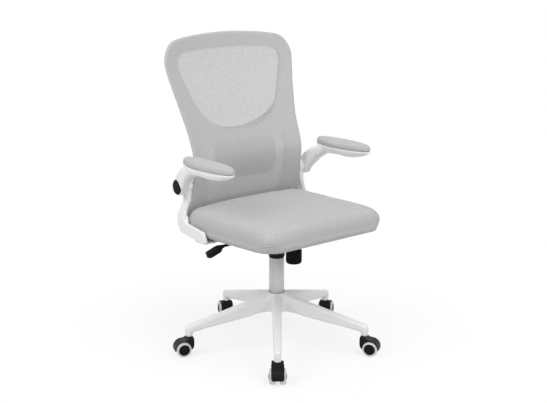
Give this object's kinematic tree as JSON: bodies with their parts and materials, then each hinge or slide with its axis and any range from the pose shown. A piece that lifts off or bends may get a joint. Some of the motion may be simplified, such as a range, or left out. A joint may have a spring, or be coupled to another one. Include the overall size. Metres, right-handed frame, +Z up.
{
  "type": "office chair",
  "caption": "Swivel office chair with a mesh back, padded seat, flip-up arms, tilt mechanism, height lever and a star base on twin-wheel casters.",
  "frame": {"origin": "on the floor under the middle of the whole chair's box; the column's axis is 25.5 mm ahead of it", "axes": "+Z up, the sitter faces -Y, +X is the sitter's left"},
  "size_m": [0.678, 0.6572, 1.0155],
  "materials": {
    "white_plastic": "satin white moulding",
    "white_metal": "satin white paint",
    "pale_plastic": "matt pale grey moulding",
    "mesh_fabric": "fine open mesh",
    "seat_fabric": "ribbed knit over foam",
    "black_plastic": "satin black moulding",
    "black_metal": "black powder coat",
    "steel": "plain steel"
  },
  "bodies": {
    "base": {"star_base": "white_plastic", "gas_tube": "white_metal", "gas_bush": "black_plastic", "caster_stem_1": "steel", "caster_stem_2": "steel", "caster_stem_3": "steel", "caster_stem_4": "steel", "caster_stem_5": "steel"},
    "lift": {"gas_cylinder": "steel"},
    "swivel": {"tilt_housing": "black_metal", "tilt_pin": "steel"},
    "knob": {"tension_knob": "black_plastic"},
    "seat": {"seat_plate": "black_metal", "seat_pan": "black_plastic", "seat_cushion": "seat_fabric", "bracket_left": "white_plastic", "bracket_right": "white_plastic", "back_frame": "pale_plastic", "back_mesh": "mesh_fabric"},
    "lever": {"lever_pivot": "black_plastic"},
    "lever_pull": {"lever_rod": "steel", "lever_paddle": "black_plastic"},
    "lumbar": {"lumbar_pad": "pale_plastic"},
    "left_arm": {"arm_left": "white_plastic", "arm_pad_left": "seat_fabric", "arm_cap_left": "black_plastic"},
    "right_arm": {"arm_right": "white_plastic", "arm_pad_right": "seat_fabric", "arm_cap_right": "black_plastic"},
    "caster_1": {"caster_hood_1": "black_plastic", "caster_axle_1": "steel"},
    "caster_2": {"caster_hood_2": "black_plastic", "caster_axle_2": "steel"},
    "caster_3": {"caster_hood_3": "black_plastic", "caster_axle_3": "steel"},
    "caster_4": {"caster_hood_4": "black_plastic", "caster_axle_4": "steel"},
    "caster_5": {"caster_hood_5": "black_plastic", "caster_axle_5": "steel"},
    "wheel_1a": {"tyre_1a": "white_plastic", "wheel_hub_1a": "black_plastic"},
    "wheel_1b": {"tyre_1b": "white_plastic", "wheel_hub_1b": "black_plastic"},
    "wheel_2a": {"tyre_2a": "white_plastic", "wheel_hub_2a": "black_plastic"},
    "wheel_2b": {"tyre_2b": "white_plastic", "wheel_hub_2b": "black_plastic"},
    "wheel_3a": {"tyre_3a": "white_plastic", "wheel_hub_3a": "black_plastic"},
    "wheel_3b": {"tyre_3b": "white_plastic", "wheel_hub_3b": "black_plastic"},
    "wheel_4a": {"tyre_4a": "white_plastic", "wheel_hub_4a": "black_plastic"},
    "wheel_4b": {"tyre_4b": "white_plastic", "wheel_hub_4b": "black_plastic"},
    "wheel_5a": {"tyre_5a": "white_plastic", "wheel_hub_5a": "black_plastic"},
    "wheel_5b": {"tyre_5b": "white_plastic", "wheel_hub_5b": "black_plastic"}
  },
  "joints": [
    {"name": "seat_height", "type": "slide", "parent": "base", "child": "lift", "axis": [0, 0, 1], "range_m": [0, 0.1]},
    {"name": "seat_swivel", "type": "hinge", "parent": "lift", "child": "swivel", "pos_m": [0, -0.0255, 0.32], "axis": [0, 0, 1], "continuous": true},
    {"name": "seat_tilt", "type": "hinge", "parent": "swivel", "child": "seat", "pos_m": [0, -0.0705, 0.357], "axis": [-1, 0, 0], "range_deg": [0, 12], "stiffness_Nm_per_rad": 120, "springref_deg": -22.92},
    {"name": "tension_turn", "type": "hinge", "parent": "swivel", "child": "knob", "pos_m": [0, -0.114, 0.33], "axis": [0, 0, 1], "continuous": true},
    {"name": "lever_lift", "type": "hinge", "parent": "seat", "child": "lever", "pos_m": [-0.078, -0.02181, 0.37932], "axis": [0, 0.9978, -0.0663], "range_deg": [0, 3.5]},
    {"name": "lever_lock", "type": "slide", "parent": "lever", "child": "lever_pull", "axis": [-1, 0, 0], "range_m": [0, 0.01]},
    {"name": "lumbar_slide", "type": "slide", "parent": "seat", "child": "lumbar", "axis": [0, 0, 1], "range_m": [-0.012, 0.012]},
    {"name": "left_arm_flip", "type": "hinge", "parent": "seat", "child": "left_arm", "pos_m": [0.2572, 0.1455, 0.546], "axis": [-1, 0, 0], "range_deg": [0, 88]},
    {"name": "right_arm_flip", "type": "hinge", "parent": "seat", "child": "right_arm", "pos_m": [-0.2572, 0.1455, 0.546], "axis": [-1, 0, 0], "range_deg": [0, 88]},
    {"name": "caster_swivel_1", "type": "hinge", "parent": "base", "child": "caster_1", "pos_m": [-0.18416, -0.26232, 0.055], "axis": [0, 0, 1], "continuous": true},
    {"name": "caster_swivel_2", "type": "hinge", "parent": "base", "child": "caster_2", "pos_m": [-0.28214, 0.07647, 0.055], "axis": [0, 0, 1], "continuous": true},
    {"name": "caster_swivel_3", "type": "hinge", "parent": "base", "child": "caster_3", "pos_m": [0.00979, 0.27434, 0.055], "axis": [0, 0, 1], "continuous": true},
    {"name": "caster_swivel_4", "type": "hinge", "parent": "base", "child": "caster_4", "pos_m": [0.28819, 0.05785, 0.055], "axis": [0, 0, 1], "continuous": true},
    {"name": "caster_swivel_5", "type": "hinge", "parent": "base", "child": "caster_5", "pos_m": [0.16832, -0.27383, 0.055], "axis": [0, 0, 1], "continuous": true},
    {"name": "wheel_spin_1a", "type": "hinge", "parent": "caster_1", "child": "wheel_1a", "pos_m": [-0.19767, -0.27969, 0.025], "axis": [0.7894, -0.6139, 0], "continuous": true},
    {"name": "wheel_spin_1b", "type": "hinge", "parent": "caster_1", "child": "wheel_1b", "pos_m": [-0.19767, -0.27969, 0.025], "axis": [0.7894, -0.6139, 0], "continuous": true},
    {"name": "wheel_spin_2a", "type": "hinge", "parent": "caster_2", "child": "wheel_2a", "pos_m": [-0.30283, 0.08394, 0.025], "axis": [-0.3399, -0.9405, 0], "continuous": true},
    {"name": "wheel_spin_2b", "type": "hinge", "parent": "caster_2", "child": "wheel_2b", "pos_m": [-0.30283, 0.08394, 0.025], "axis": [-0.3399, -0.9405, 0], "continuous": true},
    {"name": "wheel_spin_3a", "type": "hinge", "parent": "caster_3", "child": "wheel_3a", "pos_m": [0.01939, 0.29414, 0.025], "axis": [-0.8998, 0.4363, 0], "continuous": true},
    {"name": "wheel_spin_3b", "type": "hinge", "parent": "caster_3", "child": "wheel_3b", "pos_m": [0.01939, 0.29414, 0.025], "axis": [-0.8998, 0.4363, 0], "continuous": true},
    {"name": "wheel_spin_4a", "type": "hinge", "parent": "caster_4", "child": "wheel_4a", "pos_m": [0.30501, 0.07203, 0.025], "axis": [-0.6445, 0.7646, 0], "continuous": true},
    {"name": "wheel_spin_4b", "type": "hinge", "parent": "caster_4", "child": "wheel_4b", "pos_m": [0.30501, 0.07203, 0.025], "axis": [-0.6445, 0.7646, 0], "continuous": true},
    {"name": "wheel_spin_5a", "type": "hinge", "parent": "caster_5", "child": "wheel_5a", "pos_m": [0.18066, -0.29204, 0.025], "axis": [0.8278, 0.5611, 0], "continuous": true},
    {"name": "wheel_spin_5b", "type": "hinge", "parent": "caster_5", "child": "wheel_5b", "pos_m": [0.18066, -0.29204, 0.025], "axis": [0.8278, 0.5611, 0], "continuous": true}
  ]
}
